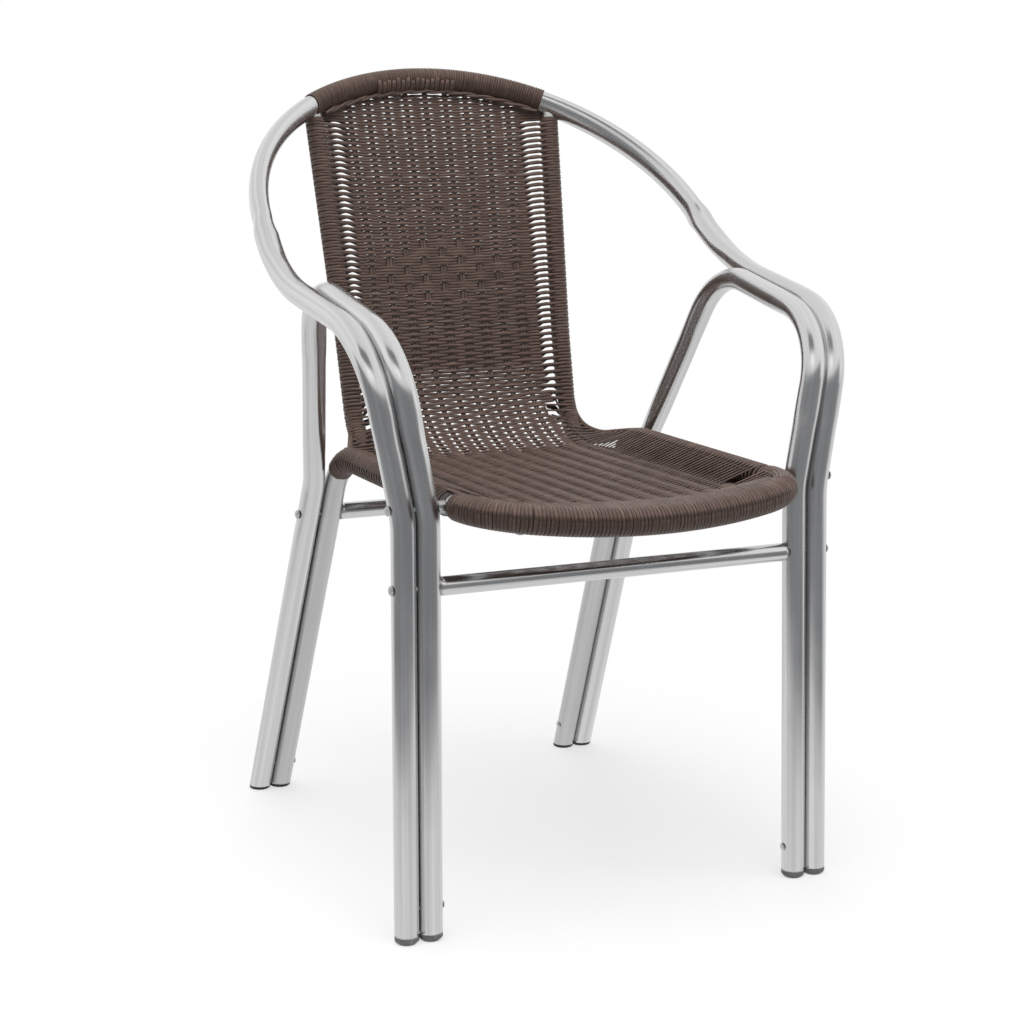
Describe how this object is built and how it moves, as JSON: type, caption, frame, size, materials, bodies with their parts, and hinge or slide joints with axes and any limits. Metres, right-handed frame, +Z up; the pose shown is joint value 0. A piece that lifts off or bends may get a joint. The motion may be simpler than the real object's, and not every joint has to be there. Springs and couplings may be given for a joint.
{
  "type": "rattan bistro chair",
  "caption": "Stacking terrace armchair: twin bent aluminium tubes for legs and arms, a hooped back, and a seat and back woven from brown plastic cane.",
  "frame": {"origin": "on the floor, under the centre of the chair's bounding box", "axes": "+Z up from the floor, +X to the right as seen from the front, -Y towards the front edge of the seat"},
  "size_m": [0.5672, 0.6366, 0.8641],
  "materials": {
    "polished_aluminium": "bright polished tube with soft dark streaks along its bends",
    "satin_aluminium": "satin anodised tube",
    "zinc_plated": "bright zinc plated",
    "brown_cane": "half-round plastic cane with a faint lengthwise grain and a soft sheen",
    "grey_plastic": "moulded grey plastic, scuffed on its edge",
    "black_plastic": "moulded black plastic"
  },
  "bodies": {
    "root": {"hoop_tube": "polished_aluminium", "left_arm_tube": "polished_aluminium", "right_arm_tube": "polished_aluminium", "seat_frame_tube": "satin_aluminium", "left_back_rail": "satin_aluminium", "right_back_rail": "satin_aluminium", "front_stretcher": "polished_aluminium", "rear_stretcher": "polished_aluminium", "left_front_stretcher_insert": "zinc_plated", "right_front_stretcher_insert": "zinc_plated", "left_rear_stretcher_insert": "zinc_plated", "right_rear_stretcher_insert": "zinc_plated", "left_seat_bolt": "zinc_plated", "right_seat_bolt": "zinc_plated", "left_front_stretcher_bolt": "zinc_plated", "right_front_stretcher_bolt": "zinc_plated", "left_rear_stretcher_bolt": "zinc_plated", "right_rear_stretcher_bolt": "zinc_plated", "left_seat_bolt_nut": "zinc_plated", "right_seat_bolt_nut": "zinc_plated", "left_seat_bolt_bush": "zinc_plated", "right_seat_bolt_bush": "zinc_plated", "left_front_foot_rivet": "satin_aluminium", "right_front_foot_rivet": "satin_aluminium", "left_rear_foot_rivet": "satin_aluminium", "right_rear_foot_rivet": "satin_aluminium", "left_front_outer_glide": "grey_plastic", "right_front_outer_glide": "grey_plastic", "left_front_inner_glide": "grey_plastic", "right_front_inner_glide": "grey_plastic", "left_rear_outer_glide": "black_plastic", "right_rear_outer_glide": "black_plastic", "left_rear_inner_glide": "black_plastic", "right_rear_inner_glide": "black_plastic", "top_rail_wrap": "brown_cane", "left_back_rail_wrap": "brown_cane", "right_back_rail_wrap": "brown_cane", "left_side_rail_wrap": "brown_cane", "right_side_rail_wrap": "brown_cane", "front_rail_wrap": "brown_cane", "seat_weave": "brown_cane", "back_weave": "brown_cane"}
  },
  "joints": []
}
